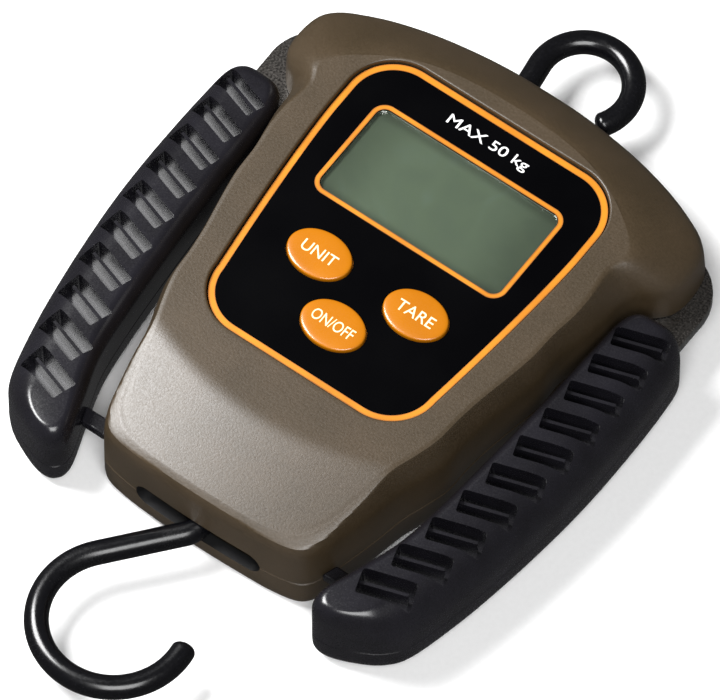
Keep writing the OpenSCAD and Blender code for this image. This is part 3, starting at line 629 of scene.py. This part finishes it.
# Inset of an elliptical round that starts at height low and has moved in by across at the top
def roundOff(z, low, across):
    t = min(max((z - low) / (gripTop - low), 0), 1)
    return across * (1 - math.sqrt(1 - t * t))


# Height, inset against the case, inset outside: a broad round outer side and a steeper inner wall
gripProfile = [(gripSeam + 0.02, 0.25, 0.25), (gripSeam + 0.25, 0, 0)]
for rise in range(0, 91, 5):
    z = 12 + (gripTop - 12) * math.sin(math.radians(rise))
    gripProfile.append((z, roundOff(z, 16.5, 3.3), roundOff(z, 12, 8.6)))


def gripRings(profile, flip):
    out = []
    for z, inner, outer in profile:
        d = np.minimum(inner + (outer - inner) * outward, reach - 0.35)
        loop = gripLoop + (toSpine - gripLoop) * (d / reach)[:, None]
        out.append(atZ(loop * [flip, 1], z))
    return out


# Turned and moved from a pocket's own axes to its place on a grip
def placed(loop, middle, flip):
    c, s = math.cos(math.radians(pocket["turn"])), math.sin(math.radians(pocket["turn"]))
    x = (middle[0] + loop[:, 0] * c - loop[:, 1] * s) * flip
    return np.stack([x, middle[1] + loop[:, 0] * s + loop[:, 1] * c], axis=1)


# One pocket as a single closed cutter, with a rib left standing from the inner end
def pocketCut(middle, half, flip):
    inner, outer, r = pocket["in"], pocket["out"], 0.55
    ribAt, ribHalf, ribEnd = half * 0.12, pocket["rib"] / 2 + 0.12, pocket["out"] - 1.4
    corners = [(inner + r, half - r, 180), (outer - r, half - r, 90), (outer - r, r - half, 0),
               (inner + r, r - half, -90)]
    loop = [[inner, ribAt + ribHalf]]
    for u, v, a0 in corners:
        angles = [math.radians(a0 - k * 18) for k in range(6)]
        loop += [[u + r * math.cos(a), v + r * math.sin(a)] for a in angles]
    loop.append([inner, ribAt - ribHalf])
    n = len(loop)
    flat = placed(np.array(loop + [[ribEnd, ribAt - ribHalf], [ribEnd, ribAt + ribHalf]]), middle, flip)
    floorZ, ribZ, topZ = gripTop - pocket["deep"], gripTop - pocket["ribTop"], 26
    points = list(atZ(flat, floorZ)) + list(atZ(flat[:n], topZ)) + list(atZ(flat[[0, n - 1, n, n + 1]], ribZ))
    top, a, b, d, c = n + 2, 2 * n + 2, 2 * n + 3, 2 * n + 4, 2 * n + 5
    faces = [[i, i + 1, top + i + 1, top + i] for i in range(1, n - 2)]
    faces += [[0, 1, top + 1, top, a], [n - 2, n - 1, b, top + n - 1, top + n - 2], [a, top, top + n - 1, b]]
    faces += [[0, a, c, n + 1], [n + 1, c, d, n], [n, d, b, n - 1], [a, b, d, c]]
    faces += [list(range(n + 2)), [top + i for i in range(n)]]
    return points, faces


def pocketSize(k):
    return pocket["first"] * (1 + pocket["grow"] * k / (pocket["count"] - 1))


def pocketCuts(flip):
    cuts = []
    at = pocket["start"]
    for k in range(pocket["count"]):
        cuts.append(pocketCut(gripMid(at), pocketSize(k) / 2, flip))
        at += (pocketSize(k) + pocketSize(k + 1)) / 2 + pocket["bar"]
    return cuts


# Small rounds on the sharp edges of a finished piece
def soften(ob, width, segments=2, angle=35):
    mod = ob.modifiers.new("round", "BEVEL")
    mod.width, mod.segments, mod.limit_method = width / 1000, segments, "ANGLE"
    mod.angle_limit = math.radians(angle)
    mod.harden_normals = False
    mod.use_clamp_overlap = True


# Height and inset of the back half: rounded lower edge, wall and seam
gripBackProfile = [
    (gripLow, 2.2), (gripLow + 0.12, 1.4), (gripLow + 0.45, 0.75), (gripLow + 1.0, 0.32), (gripLow + 1.8, 0.08),
    (gripLow + 3, 0), (gripSeam - 0.25, 0), (gripSeam - 0.02, 0.25)]
for side, flip in (("left", -1), ("right", 1)):
    handle = side + "_handle"
    grip = meshPiece(side + "GripFront", *tube(gripRings(gripProfile, flip)), gripMat, handle,
                     [side + "_grip_front"], "grip_black", 35, pocketCuts(flip))
    soften(grip, 0.34, 3)
    screwWells = [drum(flip * x, y, 0, 4.6, 3, 40) for x, y in [(52.8, -12), (49.5, -66)]]
    backRings = gripRings([(z, d, d) for z, d in gripBackProfile], flip)
    meshPiece(side + "GripBack", *tube(backRings), gripMat, handle, [side + "_grip_back"], "grip_black", 30,
              screwWells)
print("grips ready")

# Arms, catches, hook and eye


armShape = {"earR": 13.1, "pinR": 2.55,
            "tongue": [[48.4, 2], [48, -20], [47.4, -42], [56.2, -42], [57.4, -20], [58.4, 2]]}
# Inset and height: sheared plate with its edges rubbed round
armProfile = [(0.45, 8.0), (0.12, 8.12), (0, 8.5), (0, 10.5), (0.12, 10.88), (0.45, 11.0)]
catchShape = {"z0": 9.7, "z1": 12.1, "loop": [[30.7, -79.6], [37.1, -79.6], [35.74, -83.4], [29.4, -83.4]]}


# Outline of the right arm, moved inwards
def armLoop(d):
    r = armShape["earR"] - d
    out = [[pivotX + r * math.cos(a), pivotY + r * math.sin(a)] for a in np.radians(np.linspace(-4, 279, 120))]
    out += [[x + (d if x < 52 else -d), y + (d if y < -40 else 0)] for x, y in armShape["tongue"]]
    return np.array(out)


for side, flip in (("left", -1), ("right", 1)):
    handle = side + "_handle"
    rings = [atZ(armLoop(d) * [flip, 1], z) for d, z in armProfile]
    arm = meshPiece(side + "Arm", *tube(rings), armMat, handle, [side + "_arm"], "arm_steel", 30,
                    [drum(flip * pivotX, pivotY, 0, 20, armShape["pinR"])])
    arm.data.materials.append(edgeMat)
    for face in arm.data.polygons:
        if abs(face.normal.z) < 0.5:
            face.material_index = 1
    catchSolid = prism(np.array(catchShape["loop"]) * [flip, 1], catchShape["z0"], catchShape["z1"])
    catch = meshPiece(side + "Catch", *catchSolid, gripMat, handle, [side + "_catch"], "grip_black", 30)
    soften(catch, 0.5, 3)


def arcPoints(centre, r, a0, a1, n):
    return [[centre[0] + r * math.cos(math.radians(a)), centre[1] + r * math.sin(math.radians(a))]
            for a in np.linspace(a0, a1, n)]


rod = {"r": 2.75, "tip": 1.5, "eyeR": 5.4, "eyeHalf": 2.45, "holeR": 2.05}


# Round rod along a flat path at the seam height, with a domed free end
def rodRings(path):
    r, tip = rod["r"], rod["tip"]
    step = np.linalg.norm(np.diff(path, axis=0), axis=1)
    left = np.concatenate([np.cumsum(step[::-1])[::-1], [0]])
    out = []
    d = np.gradient(path, axis=0)
    d /= np.linalg.norm(d, axis=1)[:, None]
    for p, t, rest in zip(path, d, left):
        q = r if rest > tip else r * (0.42 + 0.58 * math.sqrt(max(0, 1 - (1 - rest / tip) ** 2)))
        out.append([(p[0] - t[1] * q * math.cos(a), p[1] + t[0] * q * math.cos(a), seamZ - q * math.sin(a))
                    for a in np.linspace(0, 2 * math.pi, 40, endpoint=False)])
    return out


def rodPiece(name, path, pinY, body, node):
    bar = tube(rodRings(path))
    boss = drum(0, pinY, seamZ - rod["eyeHalf"], seamZ + rod["eyeHalf"], rod["eyeR"])
    hole = drum(0, pinY, 0, 20, rod["holeR"])
    meshPiece(name, *together([bar, boss]), rodMat, body, [node], "black_rod", 40, [hole])


# Joins path parts and spaces the points evenly, closer at the free end
def finePath(parts):
    p = [parts[0][0]]
    for part in parts:
        for q in part:
            if math.dist(p[-1], q) > 1e-3:
                p.append(q)
    p = np.array(p)
    at = np.concatenate([[0], np.cumsum(np.linalg.norm(np.diff(p, axis=0), axis=1))])
    evenly = np.linspace(0, at[-1] - rod["tip"], int(at[-1] / 0.8))
    want = np.concatenate([evenly, at[-1] - rod["tip"] * np.array([0.8, 0.6, 0.4, 0.22, 0.1, 0.03, 0])])
    return np.stack([np.interp(want, at, p[:, 0]), np.interp(want, at, p[:, 1])], axis=1)


# Straight down from the pin, a bow to one side, then round the bowl to the open end
hook = {"centre": (-1.2, -117.6), "r": 16.9, "lean": 40, "bow": 7, "end": 373}
lean = math.radians(hook["lean"])
joinAt = arcPoints(hook["centre"], hook["r"], 180 - hook["lean"], 180 - hook["lean"], 1)[0]
bowY = joinAt[1] - joinAt[0] / math.tan(lean) + hook["bow"] * math.tan(lean / 2)
hookPath = finePath([
    [[0, hookPinY - 4], [0, bowY]],
    arcPoints((-hook["bow"], bowY), hook["bow"], 0, -hook["lean"], 16),
    arcPoints(hook["centre"], hook["r"], 180 - hook["lean"], hook["end"], 120)])
rodPiece("hookRod", hookPath, hookPinY, "hook_body", "hook")

# Up from the pin at a slant, a bow, then round the open eye
eye = {"centre": (1.9, 52.2), "r": 11.05, "lean": 8, "bow": 8, "footY": 41.0, "end": -40}
lean = math.radians(eye["lean"])
start = arcPoints(eye["centre"], eye["r"], 180 + eye["lean"], 180 + eye["lean"], 1)[0]
foot = [start[0] + (start[1] - eye["footY"]) * math.tan(lean), eye["footY"]]
turn = math.degrees(math.atan2(-foot[0], eye["footY"] - eyePinY))
cut = eye["bow"] * math.tan(math.radians((turn - eye["lean"]) / 2))
bowAt = (foot[0] - cut * math.sin(lean) + eye["bow"] * math.cos(lean),
         foot[1] + cut * math.cos(lean) + eye["bow"] * math.sin(lean))
rise = math.radians(turn)
eyePath = finePath([
    [[-4 * math.sin(rise), eyePinY + 4 * math.cos(rise)]],
    arcPoints(bowAt, eye["bow"], 180 + turn, 180 + eye["lean"], 10),
    arcPoints(eye["centre"], eye["r"], 180 + eye["lean"], eye["end"], 90)])
rodPiece("eyeRod", eyePath, eyePinY, "eye_body", "top_eye")
print("metalwork ready")

# Finishes of the CAD nodes that stay
nodeFinish = {
    "display_module": displayMat, "circuit_board": boardMat, "key_switches": blackPartsAndSlotShadeMat,
    "buzzer": blackPartsAndSlotShadeMat,
    "faceplate_gasket": gasketMat, "display_connectors": gasketMat, "load_cell": aluminiumMat,
    "battery_contacts": nickelMat, "battery_left": batteryMat, "battery_right": batteryMat,
    "battery_cover": caseMat,
    "chassis_front_plate": steelMat, "chassis_back_plate": steelMat, "yoke_front_plate": steelMat,
    "yoke_back_plate": steelMat}
for name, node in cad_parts.items():
    if not node.hide_render:
        node.data.materials.clear()
        node.data.materials.append(nodeFinish.get(name, zincMat))

# Camera, floor and light
# Degrees round and up, metres away, the point it looks at, and the lens in mm
view = {"azimuth": 36.2, "elevation": 59.9, "away": 3.0, "aim": (0.0083, -0.0049, 0.028), "lens": 690}
azimuth, elevation = math.radians(view["azimuth"]), math.radians(view["elevation"])
level = math.cos(elevation)
toCamera = Vector((math.sin(azimuth) * level, -math.cos(azimuth) * level, math.sin(elevation)))
aim = Vector(view["aim"])
camera = bpy.data.objects.new("camera", bpy.data.cameras.new("camera"))
scene.collection.objects.link(camera)
camera.location = aim + toCamera * view["away"]
camera.rotation_euler = (-toCamera).to_track_quat("-Z", "Y").to_euler()
camera.data.lens = view["lens"]
camera.data.sensor_width = 36
camera.data.clip_end = 20
camera.data.dof.use_dof = False
scene.camera = camera

floorMat, floorBsdf = newMaterial("white paper floor")
coord = addNode(floorMat, "ShaderNodeTexCoord")
fibres = addNode(floorMat, "ShaderNodeTexNoise", {"Scale": 900.0, "Detail": 3.0}, {"Vector": (coord, "Object")})
paper = ramp(floorMat, fibres, "Fac", [(0.3, grey(0.93)), (0.7, grey(0.96))])
wire(floorMat, floorBsdf, {"Base Color": (paper, "Color")})
floorBsdf.inputs["Roughness"].default_value = 0.9
mesh = bpy.data.meshes.new("floor")
mesh.from_pydata([(-4, -4, 0), (4, -4, 0), (4, 4, 0), (-4, 4, 0)], [], [[0, 1, 2, 3]])
mesh.materials.append(floorMat)
floor = bpy.data.objects.new("floor", mesh)
scene.collection.objects.link(floor)
floor.visible_glossy = False  # keeps the white floor out of the sheen on the dark sides

world = bpy.data.worlds.new("studio")
scene.world = world
scene.view_settings.view_transform = "Standard"
world.use_nodes = True
world.node_tree.nodes["Background"].inputs["Color"].default_value = grey(1.0)
world.node_tree.nodes["Background"].inputs["Strength"].default_value = 0.085


def softbox(name, place, size, power):
    light = bpy.data.objects.new(name, bpy.data.lights.new(name, "AREA"))
    light.data.shape = "RECTANGLE"
    light.data.size, light.data.size_y, light.data.energy = size[0], size[1], power
    light.location = place
    light.rotation_euler = (Vector(place) - aim).to_track_quat("Z", "Y").to_euler()
    scene.collection.objects.link(light)


softbox("key", (-0.36, -0.08, 0.50), (0.28, 0.28), 6.9)  # near and to the left: the sheen on the lower facet
softbox("wide", (0.62, -0.75, 1.35), (0.9, 0.9), 26.0)  # near the camera's line: even light on everything
print("stage ready")
